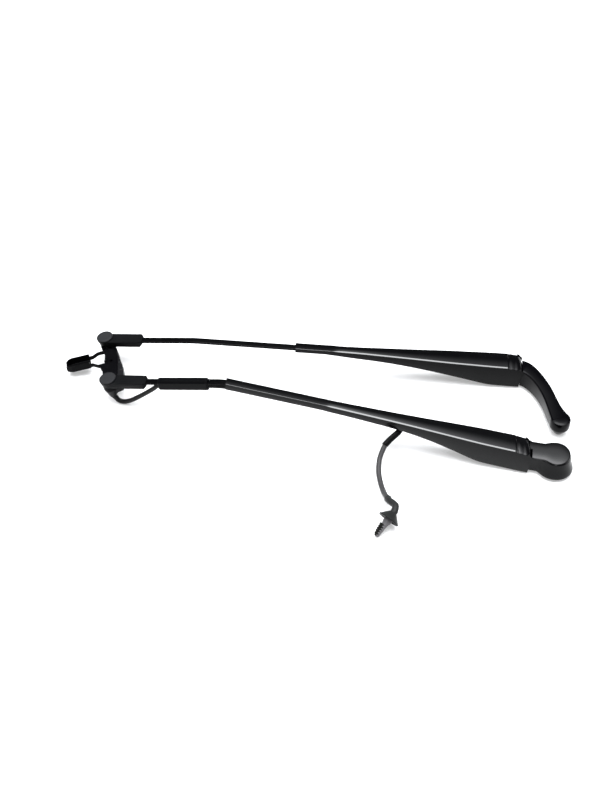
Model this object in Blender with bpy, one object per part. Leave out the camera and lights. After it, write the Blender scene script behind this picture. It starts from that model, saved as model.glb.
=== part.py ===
"""Pantograph windshield wiper arm pair: drive arm, follower arm, tip coupler, blade holder and washer hose.

Frame: +X from the tips to the heads, +Y from the drive arm to the follower arm, +Z up, metres.
The assembly lies on a flat surface at z = 0, and the origin is under the middle of its box.
"""
import math

import bmesh
import bpy
from mathutils import Matrix, Vector

MM = 0.001
GAP = 0.3 * MM

# Placement: the drive spindle axis, seen from the origin.
SPINDLE_X = 290.4 * MM
SPINDLE_Y = -64.2 * MM

# Hinge line that both arms lift about.
HINGE_X = -38.0 * MM
HINGE_Z = 23.6 * MM
HINGE_YAW = math.radians(9.3)
HINGE_SPACING = 139.2 * MM
HINGE_PIN_R = 2.4 * MM
HINGE_BORE_R = 2.7 * MM
ROLL_R = 9.2 * MM
DRIVE_WALL_END_R = 11.2 * MM
FOLLOWER_WALL_END_R = 10.1 * MM
HEAD_CLEAR_R = 10.6 * MM

# Channel-shaped retainers: x runs from the hinge to the tip.
SHEET = 1.3 * MM
RETAINER_W = 28.0 * MM
DRIVE_PITCH = math.radians(5.1)
FOLLOWER_PITCH = math.radians(2.9)
DRIVE_STATIONS = ((0, 28, 30.0), (46, 27, 29.6), (62, 25.6, 26.4), (80, 23.8, 21.6), (108, 20.8, 15.6),
                  (143, 17.4, 11.4), (190, 14.4, 9.4), (228, 12.2, 8.8), (231, 11.8, 8.6), (346, 11.6, 8.6))
FOLLOWER_STATIONS = ((0, 28, 30.0), (26, 27.4, 29.8), (46, 26.2, 26.8), (80, 23.8, 20.4), (120, 19.6, 14.6),
                     (160, 15.8, 10.6), (196, 12.8, 8.8), (226, 11.8, 6.4), (230, 11.6, 6.0), (268, 11.6, 6.0))

# Flat rods.
ROD_W = 8.4 * MM
ROD_T = 3.0 * MM
ROD_BEND_R = 48.0 * MM
ROD_START = 172.0 * MM
DRIVE_BEND = 350.0 * MM
FOLLOWER_BEND = 391.0 * MM

# Tip pivots: both axes are square to the same plane, tilted by TIP_TILT.
TIP_TILT = math.radians(10.0)
DRIVE_TIP = Vector((-533.5, 0.0, 39.6)) * MM
COUPLER_LENGTH = 80.0 * MM
COUPLER_ANGLE = math.radians(111.0)
CAP_R = 10.2 * MM
CAP_T = 2.0 * MM
SOCKET_W = 17.0 * MM
SOCKET_T = 8.5 * MM
SOCKET_LENGTH = 49.0 * MM
SOCKET_TOP = -2.3 * MM
ROD_LEVEL = SOCKET_TOP - SOCKET_T / 2
SOCKET_GRIP = 24.0 * MM
EYE_R = 8.2 * MM
COUPLER_TOP = SOCKET_TOP - SOCKET_T - GAP
EYE_T = 5.0 * MM
COUPLER_T = 8.4 * MM
TIP_PIN_R = 3.5 * MM
TIP_BUSH_R = 5.0 * MM

# Blade holder and its cross pin, in the coupler's own frame (across, along, up).
HOLDER_PIN = Vector((0.0, 0.0, -15.4)) * MM
HOLDER_PIN_R = 2.0 * MM
HOLDER_PIN_FROM = 35.0 * MM
HOLDER_PIN_TO = 72.0 * MM
EAR_R = 4.4 * MM
EAR_T = 3.0 * MM
NEAR_EAR = 44.0 * MM
FAR_EAR = 68.5 * MM
TROUGH_FROM = -23.5 * MM
TROUGH_TO = -53.0 * MM
TROUGH_MID = 57.5 * MM
TROUGH_W = 16.5 * MM
TROUGH_TOP = -10.5 * MM
TROUGH_BOTTOM = -21.0 * MM
TROUGH_WALL = 2.0 * MM

# Drive head.
SKIRT_Z = 5.0 * MM
HEAD_TOP = 28.3 * MM
HEAD_SPLIT = 23.6 * MM
BULB_R_LOW = 21.3 * MM
BULB_R_HIGH = 16.8 * MM
NECK_HALF = 11.6 * MM
NECK_BLEND = 5.0 * MM
BOSS_R = 14.0 * MM
SPINDLE_BORE_LOW = 6.4 * MM
SPINDLE_BORE_HIGH = 5.4 * MM
NUT_POCKET_R = 12.4 * MM
NUT_SEAT_Z = 13.5 * MM
TONGUE_HALF = 8.6 * MM
TONGUE_R = 7.3 * MM

# Follower head: a crank from its hinge back to the follower spindle. Each station is (x, y, width, bottom, top).
FOLLOWER_AXIS = Vector((1.0, 61.0, 0.0)) * MM
CRANK = ((-57.0, 137.2, 21.6, 3.0, 27.3), (-48.5, 136.2, 20.6, 3.0, 27.2), (-41.0, 131.8, 18.4, 3.2, 27.0),
         (-33.0, 123.6, 16.5, 3.8, 26.8), (-26.0, 114.2, 15.7, 4.6, 26.5), (-19.6, 103.6, 15.5, 5.5, 26.0),
         (-13.6, 91.0, 15.5, 6.4, 25.4), (-8.0, 78.0, 17.0, 7.2, 24.8), (-3.0, 68.0, 20.0, 8.4, 24.4),
         (1.0, 61.0, 23.0, 9.6, 24.2))
CRANK_BEVEL = 2.2 * MM
HUB_R = 12.0 * MM
STUD_BORE_R = 3.2 * MM

# Springs.
SPRING_R = 3.4 * MM
SPRING_WIRE_R = 0.8 * MM
SPRING_TURNS = 20
SPRING_COIL = (34.0 * MM, 134.0 * MM)
SPRING_ANCHOR = Vector((9.4, 0.0, -9.4)) * MM
SPRING_HOOK_X = 166.0 * MM
SPRING_HOOK_Z = 4.4 * MM
SPRING_PIN_R = 1.5 * MM

# Washer hose.
HOSE_R = 3.0 * MM
HOSE_STUB = 1.2 * MM
SLEEVE_W = 10.8 * MM
SLEEVE_H = 13.8 * MM
SLEEVE_OVER = 2.4 * MM
SLEEVE_FROM = 64.0 * MM
SLEEVE_TO = 126.0 * MM
MANIFOLD_TOP = COUPLER_TOP - EYE_T - GAP
MANIFOLD_BOTTOM = -29.4 * MM
NIPPLE_R = 3.3 * MM
NIPPLE_ROOT = Vector((0.2, 0.0, -28.2)) * MM
NIPPLE_AXIS = Vector((0.45, 0.0, -0.89))
NIPPLE_LENGTH = 4.8 * MM
HOSE_LOOP = ((-523.8, -0.3, 5.6), (-519.8, -0.8, 3.9), (-513.0, -1.2, 4.8), (-504.0, -1.4, 10.2),
             (-494.0, -1.2, 18.2), (-484.6, -0.8, 26.0), (-477.6, -0.4, 32.2))
HOSE_IN_RETAINER = ((342, 0, 0.9), (330, 0, 0.9), (300, 0, 0.9), (270, 0, 0.9), (240, 0, 0.9), (210, 0, 0.9),
                    (192, -0.4, 0.4), (179, -1.4, -1.4), (168, -2.6, -3.4), (159, -3.4, -5.0), (152, -3.8, -6.0))
HOSE_BOOT = ((-184.6, 3.2, 30.4), (-180.2, 0.4, 29.5), (-180.8, -4.6, 28.3), (-184.6, -9.8, 26.4),
             (-189.2, -15.2, 24.0))
FREE_HOSE = ((-194.0, -22.4, 20.0), (-196.1, -28.3, 15.5), (-197.4, -34.7, 11.0), (-197.1, -42.5, 7.5),
             (-195.7, -50.7, 4.8), (-193.2, -58.9, 3.6), (-190.1, -67.5, 3.6), (-186.0, -77.9, 5.5),
             (-181.5, -88.1, 9.5), (-177.2, -96.4, 13.5))
PLUG_CORNER = Vector((-165.4, -112.0, 21.0)) * MM
PLUG_AXIS = Vector((-0.442, -0.774, -0.454))
ELBOW_REACH = 7.0 * MM


def arm_frame(offset, pitch):
    """Frame on the hinge line: X towards the tip, Y along the hinge pin towards the drive side."""
    along = Vector((-math.sin(HINGE_YAW), math.cos(HINGE_YAW), 0.0))
    hinge = Vector((HINGE_X, 0.0, HINGE_Z)) + along * offset
    turn = Matrix.Rotation(math.pi + HINGE_YAW, 4, "Z") @ Matrix.Rotation(-pitch, 4, "Y")
    return Matrix.Translation(hinge) @ turn


def columns_frame(origin, x_axis, y_axis, z_axis):
    frame = Matrix((x_axis, y_axis, z_axis)).transposed().to_4x4()
    frame.translation = origin
    return frame


DRIVE_SKEW = -math.tan(HINGE_YAW) * math.cos(DRIVE_PITCH)
DRIVE_FRAME = arm_frame(0.0, DRIVE_PITCH)
FOLLOWER_FRAME = arm_frame(HINGE_SPACING, FOLLOWER_PITCH)
DRIVE_HINGE = arm_frame(0.0, 0.0)
FOLLOWER_HINGE = arm_frame(HINGE_SPACING, 0.0)
TIP_NORMAL = Vector((-math.sin(TIP_TILT), 0.0, math.cos(TIP_TILT)))
TIP_FORE = Vector((math.cos(TIP_TILT), 0.0, math.sin(TIP_TILT)))
COUPLER_ALONG = TIP_FORE * math.cos(COUPLER_ANGLE) + Vector((0.0, math.sin(COUPLER_ANGLE), 0.0))
COUPLER_FRAME = columns_frame(DRIVE_TIP, COUPLER_ALONG.cross(TIP_NORMAL), COUPLER_ALONG, TIP_NORMAL)
FOLLOWER_TIP = DRIVE_TIP + COUPLER_ALONG * COUPLER_LENGTH

PIVOTS = {
    "drive_head": Vector((0.0, 0.0, 0.0)),
    "drive_arm": DRIVE_HINGE.translation.copy(),
    "coupler": DRIVE_TIP.copy(),
    "blade_holder": COUPLER_FRAME @ (HOLDER_PIN + Vector((0.0, TROUGH_MID, 0.0))),
    "follower_arm": FOLLOWER_TIP.copy(),
    "follower_head": FOLLOWER_HINGE.translation.copy(),
}
PARENTS = {
    "drive_arm": "drive_head",
    "coupler": "drive_arm",
    "blade_holder": "coupler",
    "follower_arm": "coupler",
    "follower_head": "follower_arm",
}
FINISHES = {
    "black_paint": ((0.018, 0.019, 0.021, 1.0), 0.32, 0.0),
    "black_casting": ((0.022, 0.023, 0.025, 1.0), 0.45, 0.0),
    "black_rubber": ((0.02, 0.02, 0.02, 1.0), 0.7, 0.0),
    "black_plastic": ((0.03, 0.03, 0.032, 1.0), 0.5, 0.0),
    "grey_hose": ((0.09, 0.09, 0.09, 1.0), 0.55, 0.0),
    "steel": ((0.45, 0.45, 0.44, 1.0), 0.35, 1.0),
    "bronze": ((0.42, 0.3, 0.16, 1.0), 0.4, 1.0),
}
BODIES = {}
MATERIALS = {}


def clear_scene():
    for old in list(bpy.data.objects):
        bpy.data.objects.remove(old)


def make_materials():
    for name, (colour, roughness, metallic) in FINISHES.items():
        material = bpy.data.materials.new(name)
        material.use_nodes = True
        shader = material.node_tree.nodes["Principled BSDF"]
        shader.inputs["Base Color"].default_value = colour
        shader.inputs["Roughness"].default_value = roughness
        shader.inputs["Metallic"].default_value = metallic
        MATERIALS[name] = material


def make_bodies():
    for name, pivot in PIVOTS.items():
        empty = bpy.data.objects.new("body_" + name, None)
        bpy.context.scene.collection.objects.link(empty)
        parent = PARENTS.get(name)
        if parent:
            empty.parent = BODIES[parent]
            empty.location = pivot - PIVOTS[parent]
        else:
            empty.location = pivot + Vector((SPINDLE_X, SPINDLE_Y, 0.0))
        BODIES[name] = empty


def own_material(finish, name):
    """A copy of the finish for this piece, so that each piece has its own."""
    material = MATERIALS[finish].copy()
    material.name = name + "_" + finish
    return material


def add_piece(name, bm, body, finish, sharp=32.0):
    bmesh.ops.recalc_face_normals(bm, faces=bm.faces)
    mesh = bpy.data.meshes.new(name)
    bm.to_mesh(mesh)
    bm.free()
    mesh.transform(Matrix.Translation(-PIVOTS[body]))
    mesh.shade_smooth()
    mesh.set_sharp_from_angle(angle=math.radians(sharp))
    piece = bpy.data.objects.new(name, mesh)
    bpy.context.scene.collection.objects.link(piece)
    piece.parent = BODIES[body]
    mesh.materials.append(own_material(finish, name))
    return piece


def boolean(piece, operation, name, bm, body, solver):
    """Cut a shape from a piece, or join it on. The shape stays in the file as a hidden guide."""
    tool = add_piece(name, bm, body, "black_paint")
    tool.hide_render = True
    tool.display_type = "WIRE"
    modifier = piece.modifiers.new(name, "BOOLEAN")
    modifier.operation = operation
    modifier.solver = solver
    modifier.object = tool


def cut(piece, name, bm, body, solver="EXACT"):
    boolean(piece, "DIFFERENCE", name, bm, body, solver)


def join(piece, name, bm, body):
    boolean(piece, "UNION", name, bm, body, "EXACT")


def skin(rings, looped=False):
    """A closed mesh through equal rings of points: capped at both ends, or looped end to end."""
    bm = bmesh.new()
    loops = [[bm.verts.new(point) for point in ring] for ring in rings]
    pairs = list(zip(loops, loops[1:]))
    if looped:
        pairs.append((loops[-1], loops[0]))
    for low, high in pairs:
        for i in range(len(low)):
            j = (i + 1) % len(low)
            bm.faces.new((low[i], low[j], high[j], high[i]))
    if not looped:
        bm.faces.new(loops[0])
        bm.faces.new(loops[-1])
    return bm


def lathe(profile, frame, segments=32, looped=False):
    """Turn (radius, height) points about the frame's Z."""
    rings = []
    for radius, height in profile:
        angles = [2 * math.pi * i / segments for i in range(segments)]
        rings.append([frame @ Vector((radius * math.cos(a), radius * math.sin(a), height)) for a in angles])
    return skin(rings, looped)


def prism(outline, frame, low, high):
    """Extrude an outline in the frame's XY plane from low to high."""
    return skin([[frame @ Vector((x, y, z)) for x, y in outline] for z in (low, high)])


def side_frame(frame):
    """The same place, with the outline plane turned upright: X stays, Y becomes Z, Z becomes -Y."""
    return frame @ Matrix.Rotation(math.pi / 2, 4, "X")


def axis_frame(origin, axis):
    frame = axis.to_track_quat("Z", "Y").to_matrix().to_4x4()
    frame.translation = origin
    return frame


def pin_frame(frame):
    """Frame whose Z runs along the given frame's Y."""
    return frame @ Matrix.Rotation(-math.pi / 2, 4, "X")


def arc(centre, radius, start, end, steps):
    """Points on an arc, angles in degrees."""
    points = []
    for i in range(steps + 1):
        a = math.radians(start + (end - start) * i / steps)
        points.append((centre[0] + radius * math.cos(a), centre[1] + radius * math.sin(a)))
    return points


def chamfered(half_w, low, high, bevel):
    """Outline of a bar section with four cut corners, (across, up)."""
    return ((-half_w + bevel, low), (half_w - bevel, low), (half_w, low + bevel), (half_w, high - bevel),
            (half_w - bevel, high), (-half_w + bevel, high), (-half_w, high - bevel), (-half_w, low + bevel))


def smooth_curve(points, steps):
    """Catmull-Rom curve through the points."""
    ends = [points[0] * 2 - points[1]] + list(points) + [points[-1] * 2 - points[-2]]
    curve = []
    for p0, p1, p2, p3 in zip(ends, ends[1:], ends[2:], ends[3:]):
        for i in range(steps):
            t = i / steps
            curve.append(0.5 * (2 * p1 + (p2 - p0) * t + (2 * p0 - 5 * p1 + 4 * p2 - p3) * t * t
                                + (3 * p1 - p0 - 3 * p2 + p3) * t ** 3))
    curve.append(points[-1].copy())
    return curve


def sweep(path, section, up):
    """Carry a section of (across, up) points along a path."""
    rings = []
    for i, point in enumerate(path):
        ahead = path[min(i + 1, len(path) - 1)] - path[max(i - 1, 0)]
        across = ahead.cross(up).normalized()
        above = across.cross(ahead).normalized()
        rings.append([point + across * a + above * b for a, b in section])
    return skin(rings)


def hose_piece(name, points, radius, body, finish):
    curve = bpy.data.curves.new(name, "CURVE")
    curve.dimensions = "3D"
    curve.bevel_depth = radius
    curve.bevel_resolution = 2
    curve.use_fill_caps = True
    spline = curve.splines.new("POLY")
    spline.points.add(len(points) - 1)
    for target, point in zip(spline.points, points):
        target.co = (*(point - PIVOTS[body]), 1.0)
    piece = bpy.data.objects.new(name, curve)
    bpy.context.scene.collection.objects.link(piece)
    piece.parent = BODIES[body]
    curve.materials.append(own_material(finish, name))
    return piece


def interpolate(stations, x):
    """Width and depth of a retainer at x."""
    for (x0, w0, d0), (x1, w1, d1) in zip(stations, stations[1:]):
        if x <= x1 * MM:
            t = max(0.0, (x - x0 * MM) / ((x1 - x0) * MM))
            return (w0 + (w1 - w0) * t) * MM, (d0 + (d1 - d0) * t) * MM
    return stations[-1][1] * MM, stations[-1][2] * MM


def make_retainer(name, frame, stations, skew, wall_end, body):
    """Pressed channel, open below, rolled down round the hinge pin at x = 0."""
    bottom = ROLL_R - stations[0][2] * MM
    side = wall_end * math.sqrt(0.5)
    outer = []
    for x in (-wall_end + 0.05 * MM, -9.2 * MM, -8.0 * MM):
        high = min(math.sqrt(wall_end ** 2 - x * x), math.sqrt(max(ROLL_R ** 2 - x * x, 0.0)) + 1.2 * MM)
        outer.append((x, RETAINER_W, -math.sqrt(wall_end ** 2 - x * x), high))
    outer.append((-side - 0.02 * MM, RETAINER_W, -side, math.sqrt(ROLL_R ** 2 - side ** 2)))
    for x in (-side, -5.4 * MM, -3.6 * MM, -1.8 * MM):
        outer.append((x, RETAINER_W, bottom, math.sqrt(ROLL_R ** 2 - x * x)))
    for x, width, depth in stations:
        outer.append((x * MM, width * MM, ROLL_R - depth * MM, ROLL_R))
    rings = []
    for x, width, low, high in outer:
        half = width / 2
        edge = min(1.6 * MM, (high - low) / 4)
        section = ((-half, low), (half, low), (half, high - edge), (half - 0.3 * edge, high - 0.3 * edge),
                   (half - edge, high), (-half + edge, high), (-half + 0.3 * edge, high - 0.3 * edge),
                   (-half, high - edge))
        rings.append([frame @ Vector((x, y + skew * x, z)) for y, z in section])
    piece = add_piece(name, skin(rings), body, "black_paint")

    inner_r = ROLL_R - SHEET
    hollow = [(x * MM, z) for x, z in ((-14.0, 4.0 * MM), (-6.81, 4.0 * MM))]
    hollow += [(x * MM, math.sqrt(inner_r ** 2 - (x * MM) ** 2)) for x in (-6.8, -5.2, -3.4, -1.7)]
    hollow += [(x * MM, inner_r) for x, _, _ in stations]
    hollow.append((stations[-1][0] * MM + 5 * MM, inner_r))
    rings = []
    for x, high in hollow:
        half = interpolate(stations, x)[0] / 2 - SHEET
        section = ((-half, -30 * MM), (half, -30 * MM), (half, high), (-half, high))
        rings.append([frame @ Vector((x, y + skew * x, z)) for y, z in section])
    cut(piece, name + "_hollow", skin(rings), body)
    cut(piece, name + "_pin_bore", pin_shape(frame, HINGE_BORE_R, RETAINER_W), body, "MANIFOLD")


def pin_shape(frame, radius, half_length, segments=20):
    return lathe(((radius, -half_length), (radius, half_length)), pin_frame(frame), segments)


def make_hinge_pieces(side, hinge, arm_body, head_body):
    """Riveted hinge pin through the retainer walls, and the bush that turns on it in the head's tongue."""
    half = RETAINER_W / 2 - 0.15 * MM
    edge = 0.4 * MM
    pin = ((HINGE_PIN_R - edge, -half), (HINGE_PIN_R, -half + edge), (HINGE_PIN_R, half - edge),
           (HINGE_PIN_R - edge, half))
    add_piece(side + "_hinge_pin", lathe(pin, pin_frame(hinge), 20), arm_body, "steel")
    inner, outer = HINGE_PIN_R + GAP, HINGE_PIN_R + 1.7 * MM
    length = TONGUE_HALF - 0.1 * MM
    bush = ((inner, -length), (outer, -length), (outer, length), (inner, length))
    add_piece(side + "_hinge_bush", lathe(bush, pin_frame(hinge), 20, True), head_body, "bronze")


def tongue_outline():
    """Side view of the head's tongue: round about the pin, with a web low enough for the roll to pass."""
    low = SKIRT_Z - HINGE_Z + 0.3 * MM
    web = TONGUE_R * math.sqrt(0.5)
    shelf = HEAD_CLEAR_R * math.sqrt(0.5)
    outline = [(12.4 * MM, low), (-17 * MM, low), (-17 * MM, -shelf), (-shelf, -shelf), (-web, -web)]
    outline += arc((0.0, 0.0), TONGUE_R, 218.0, -30.0, 14)
    return outline + [(12.4 * MM, -6.2 * MM)]


def clearance_outline():
    """What the head leaves free for the retainer's rolled end."""
    shelf = HEAD_CLEAR_R * math.sqrt(0.5)
    outline = arc((0.0, 0.0), HEAD_CLEAR_R, 75.0, 225.0, 16)
    return outline + [(-shelf, -32 * MM), (30 * MM, -32 * MM), (30 * MM, 14 * MM)]


def add_tongue(head, side, hinge, body):
    frame = side_frame(hinge)
    cut(head, side + "_hinge_clearance", prism(clearance_outline(), frame, -20 * MM, 20 * MM), body)
    join(head, side + "_tongue", prism(tongue_outline(), frame, -TONGUE_HALF, TONGUE_HALF), body)
    slot = ((3.4, -20), (16, -20), (16, -2), (6.6, -4.6), (3.4, -6.4))
    slot = [(x * MM, z * MM) for x, z in slot]
    cut(head, side + "_spring_slot", prism(slot, frame, -2.2 * MM, 2.2 * MM), body)
    cut(head, side + "_bush_bore", pin_shape(hinge, HINGE_PIN_R + 2.0 * MM, 12 * MM), body)
    anchor = hinge @ Matrix.Translation(SPRING_ANCHOR)
    cut(head, side + "_anchor_bore", pin_shape(anchor, SPRING_PIN_R + GAP / 2, 12 * MM, 12), body)
    add_piece(side + "_spring_pin", pin_shape(anchor, SPRING_PIN_R, TONGUE_HALF - 0.4 * MM, 12), body, "steel")


def make_spring(side, frame, hinge, skew, body):
    """Tension spring from the pin in the head's tongue to the hook at the rod's end."""
    start = hinge @ SPRING_ANCHOR
    end = frame @ Vector((SPRING_HOOK_X, SPRING_HOOK_X * skew, SPRING_HOOK_Z))
    axis = (end - start).normalized()
    across = axis.cross(Vector((0.0, 0.0, 1.0))).normalized()
    above = across.cross(axis)
    length = (end - start).length
    loop_r = SPRING_PIN_R + SPRING_WIRE_R + GAP
    path = []
    for i in range(9):
        a = math.radians(-150 + 240 * i / 8)
        path.append(start + (-axis * math.cos(a) + above * math.sin(a)) * loop_r)
    coil_from, coil_to = SPRING_COIL
    steps = SPRING_TURNS * 8
    for i in range(steps + 1):
        a = math.radians(90) + 2 * math.pi * i / 8
        reach = coil_from + (coil_to - coil_from) * i / steps
        path.append(start + axis * reach + (across * math.cos(a) + above * math.sin(a)) * SPRING_R)
    path.append(start + axis * (coil_to + 6 * MM) + above * 0.6 * MM)
    for i in range(7):
        a = math.radians(-60 - 210 * i / 6)
        centre = start + axis * (length - 2.4 * MM)
        path.append(centre + (axis * math.cos(a) + above * math.sin(a)) * loop_r)
    section = [(SPRING_WIRE_R * math.cos(a), SPRING_WIRE_R * math.sin(a))
               for a in (2 * math.pi * k / 5 for k in range(5))]
    rings = []
    for i, point in enumerate(path):
        ahead = path[min(i + 1, len(path) - 1)] - path[max(i - 1, 0)]
        u = ahead.cross(axis * 0.2 + across).normalized()
        v = ahead.cross(u).normalized()
        rings.append([point + u * a + v * b for a, b in section])
    add_piece(side + "_spring", skin(rings), body, "steel", 60.0)


def rounded_path(start, corner, end, radius, steps=6):
    """Start to end with one arc of the given radius at the corner."""
    a, b = (start - corner).normalized(), (end - corner).normalized()
    half = a.angle(b) / 2
    reach = radius / math.tan(half)
    centre = corner + (a + b).normalized() * radius / math.sin(half)
    first = (corner + a * reach - centre).normalized()
    last = (corner + b * reach - centre).normalized()
    bend = [centre + first.slerp(last, i / steps) * radius for i in range(steps + 1)]
    return [start] + bend + [end]


def rod_points(frame, skew, bend, tip):
    """Rod centreline: start inside the retainer, bend, and end inside the tip socket."""
    level = ROLL_R - SHEET - ROD_T / 2 - GAP
    start = frame @ Vector((ROD_START, ROD_START * skew, level))
    corner = frame @ Vector((bend, bend * skew, level))
    target = tip + TIP_NORMAL * ROD_LEVEL
    end = target + (corner - target).normalized() * (SOCKET_LENGTH - SOCKET_GRIP)
    return start, corner, end


def make_rod(side, frame, skew, bend, tip, body):
    start, corner, end = rod_points(frame, skew, bend, tip)
    path = rounded_path(start, corner, end, ROD_BEND_R)
    section = chamfered(ROD_W / 2, -ROD_T / 2, ROD_T / 2, 0.5 * MM)
    rod = add_piece(side + "_rod", sweep(path, section, Vector((0, 0, 1))), body, "black_paint")
    hook = frame @ Matrix.Translation((ROD_START + 5 * MM, (ROD_START + 5 * MM) * skew, 0.0))
    cut(rod, side + "_rod_hook_hole", lathe(((1.6 * MM, 0.0), (1.6 * MM, 12 * MM)), hook, 12), body)


def make_rod_hook(side, frame, skew, body):
    """Rivet that hangs the spring under the rod's end."""
    x = ROD_START + 5 * MM
    place = frame @ Matrix.Translation((x, x * skew, 0.0))
    level = ROLL_R - SHEET - GAP
    rivet = ((2.6 * MM, level - ROD_T - 2.0 * MM), (2.6 * MM, level - ROD_T - GAP), (1.3 * MM, level - ROD_T - GAP),
             (1.3 * MM, level - 0.2 * MM))
    add_piece(side + "_rod_rivet", lathe(rivet, place, 16), body, "steel")


def tip_frame(tip, toward):
    """Frame at a tip pivot: X along the socket, Z up the pivot axis."""
    flat = (toward - TIP_NORMAL * toward.dot(TIP_NORMAL)).normalized()
    return columns_frame(tip, flat, TIP_NORMAL.cross(flat), TIP_NORMAL)


def make_socket(side, frame, end, corner, body):
    """Cast fitting at the arm's tip: a box that grips the rod, and a round hub for the pivot."""
    low, high = SOCKET_TOP - SOCKET_T, SOCKET_TOP
    half = SOCKET_W / 2
    edge = 1.1 * MM
    rings = []
    for x, spread, drop in ((0.0, 1.0, 0.0), (6.0, 1.0, 0.0), (46.4, 1.0, 0.0), (49.0, 0.66, 1.9)):
        section = chamfered(half * spread, low + drop * MM, high - drop * MM, edge)
        rings.append([frame @ Vector((x * MM, y, z)) for y, z in section])
    socket = add_piece(side + "_socket", skin(rings), body, "black_casting")
    hub = ((EYE_R - 0.6 * MM, low), (EYE_R, low + 0.6 * MM), (CAP_R - 0.1 * MM, high - 0.5 * MM),
           (CAP_R - 0.6 * MM, high))
    join(socket, side + "_hub", lathe(hub, frame, 32), body)
    bore = TIP_PIN_R + GAP / 2
    cut(socket, side + "_hub_bore", lathe(((bore, low - MM), (bore, high + MM)), frame, 24), body)
    along = (corner - end).normalized()
    pocket = chamfered(ROD_W / 2 + GAP, -ROD_T / 2 - GAP, ROD_T / 2 + GAP, 0.5 * MM)
    path = [end - along * 0.5 * MM, end + along * (SOCKET_GRIP + 4 * MM)]
    cut(socket, side + "_rod_pocket", sweep(path, pocket, Vector((0.0, 0.0, 1.0))), body)


def make_tip_pivot(side, frame, body, pin_end):
    """Cap, pivot pin and the bush that the coupler's eye turns on."""
    cap = ((CAP_R - 0.3 * MM, -CAP_T), (CAP_R, -CAP_T + 0.3 * MM), (CAP_R, -0.7 * MM), (CAP_R - 0.7 * MM, 0.0))
    add_piece(side + "_pivot_cap", lathe(cap, frame, 32), body, "black_plastic")
    top = -CAP_T - GAP
    pin = ((TIP_PIN_R - 0.4 * MM, pin_end), (TIP_PIN_R, pin_end + 0.4 * MM), (TIP_PIN_R, top))
    add_piece(side + "_pivot_pin", lathe(pin, frame, 24), body, "steel")
    inner = TIP_PIN_R + GAP / 2
    low, high = COUPLER_TOP - EYE_T + 0.1 * MM, COUPLER_TOP - 0.1 * MM
    bush = ((inner, low), (TIP_BUSH_R, low), (TIP_BUSH_R, high), (inner, high))
    add_piece(side + "_pivot_bush", lathe(bush, frame, 24, True), "coupler", "bronze")


def coupler_outline():
    """Plan of the coupler plate: an eye at each end, waisted on the holder's side."""
    left = ((-7.9, 22.0), (-8.4, 32.0), (-10.6, 36.0), (-10.9, 38.4), (-9.4, 40.6), (-6.6, 43.0), (-4.2, 48.0),
            (-3.8, 56.0), (-4.4, 64.0), (-7.4, 73.0))
    right = ((10.2, 72.0), (12.2, 64.0), (12.2, 48.0), (11.0, 30.0), (9.6, 14.0))
    outline = arc((0.0, 0.0), EYE_R, 360.0, 180.0, 12)
    outline += [(x * MM, y * MM) for x, y in left]
    outline += arc((0.0, COUPLER_LENGTH), EYE_R, 180.0, 0.0, 12)
    return outline + [(x * MM, y * MM) for x, y in right]


def make_coupler():
    frame = COUPLER_FRAME
    body = "coupler"
    low = COUPLER_TOP - EYE_T
    link = add_piece("coupler_link", prism(coupler_outline(), frame, low, COUPLER_TOP), body, "black_casting")
    rib = [(x * MM, y * MM) for x, y in ((-6.8, 30), (-6.8, 40), (-3.4, 46), (-3.0, 66), (-5, 71), (9, 71),
                                         (11.4, 64), (11.4, 48), (10.4, 30), (8.6, 16), (-5, 16))]
    join(link, "coupler_rib", prism(rib, frame, COUPLER_TOP - COUPLER_T, low + 0.5 * MM), body)
    for name, y in (("near_eye_bore", 0.0), ("far_eye_bore", COUPLER_LENGTH)):
        place = frame @ Matrix.Translation((0.0, y, 0.0))
        bore = TIP_BUSH_R + 0.15 * MM
        cut(link, name, lathe(((bore, -30 * MM), (bore, 0.0)), place, 24), body)
    for name, y in (("near_ear_slot", NEAR_EAR), ("far_ear_slot", FAR_EAR)):
        half = EAR_T / 2 + 0.4 * MM
        slot = [(-14 * MM, y - half), (5.4 * MM, y - half), (5.4 * MM, y + half), (-14 * MM, y + half)]
        cut(link, name, prism(slot, frame, -30 * MM, 0.0), body)
    bore = HOLDER_PIN_R + GAP / 2
    place = pin_frame(frame @ Matrix.Translation(HOLDER_PIN))
    span = ((bore, HOLDER_PIN_FROM - 0.5 * MM), (bore, HOLDER_PIN_TO + 0.2 * MM))
    cut(link, "holder_pin_bore", lathe(span, place, 16), body)
    pin = ((HOLDER_PIN_R, HOLDER_PIN_FROM), (HOLDER_PIN_R, HOLDER_PIN_TO))
    add_piece("holder_pin", lathe(pin, place, 16), body, "steel")


def make_nozzle_block():
    """Moulded washer nozzle block on the coupler's flank, with two jets and its screws."""
    frame = COUPLER_FRAME
    top = COUPLER_TOP - 0.2 * MM
    low = top - 9.0 * MM
    outline = ((12.6, 62.5), (13.4, 55), (14.6, 44), (17.0, 33), (17.7, 20), (17.9, 12.6), (15.6, 10.2),
               (10.4, 12.4), (11.4, 30.0), (12.5, 47.4))
    outline = [(x * MM, y * MM) for x, y in outline]
    block = add_piece("nozzle_block", prism(outline, frame, low, top), "coupler", "black_plastic")
    for i, (x, y) in enumerate(((14.2, 37.0), (14.8, 22.0))):
        place = frame @ Matrix.Translation((x * MM, y * MM, top))
        cut(block, f"jet_hole_{i}", lathe(((1.9 * MM, -3 * MM), (1.9 * MM, 1 * MM)), place, 16), "coupler")
        jet = ((1.6 * MM, -2.7 * MM), (1.6 * MM, 0.3 * MM), (1.1 * MM, 0.8 * MM))
        add_piece(f"nozzle_jet_{i + 1}", lathe(jet, place, 16), "coupler", "black_plastic")


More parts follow.
